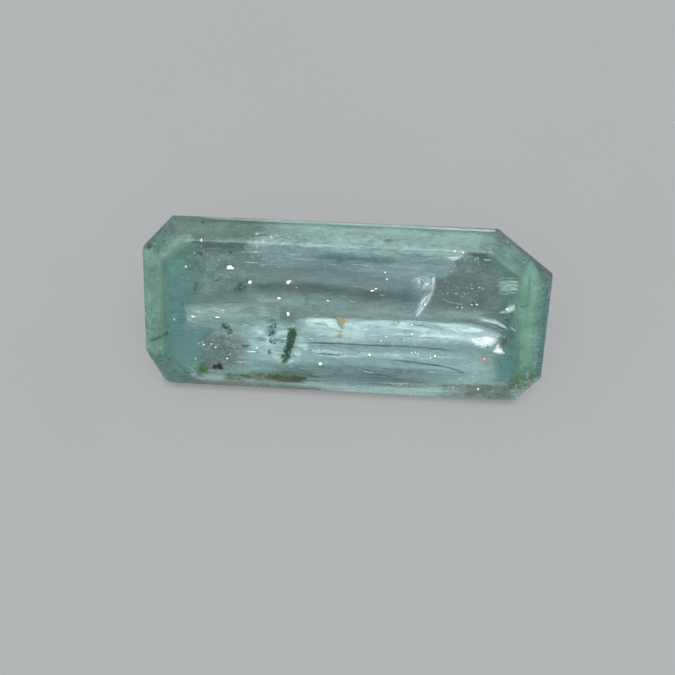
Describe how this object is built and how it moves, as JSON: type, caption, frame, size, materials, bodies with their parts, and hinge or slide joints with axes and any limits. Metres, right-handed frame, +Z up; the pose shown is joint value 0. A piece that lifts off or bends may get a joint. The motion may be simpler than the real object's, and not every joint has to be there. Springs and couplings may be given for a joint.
{
  "type": "emerald gemstone",
  "caption": "Loose step-cut beryl: long eight-sided outline, low bevelled crown, thick girdle and stepped pavilion, lying on a pavilion facet.",
  "frame": {"origin": "middle of the footprint, at the level of the surface that the stone lies on", "axes": "+X along the stone's length, +Z up, and the table faces up and towards -Y"},
  "size_m": [0.012, 0.005, 0.0047],
  "materials": {
    "beryl": "clear pale bluish green crystal with flat polished facets, growth tubes, feathers and dark mineral specks inside"
  },
  "bodies": {
    "root": {"emerald": "beryl"}
  },
  "joints": []
}
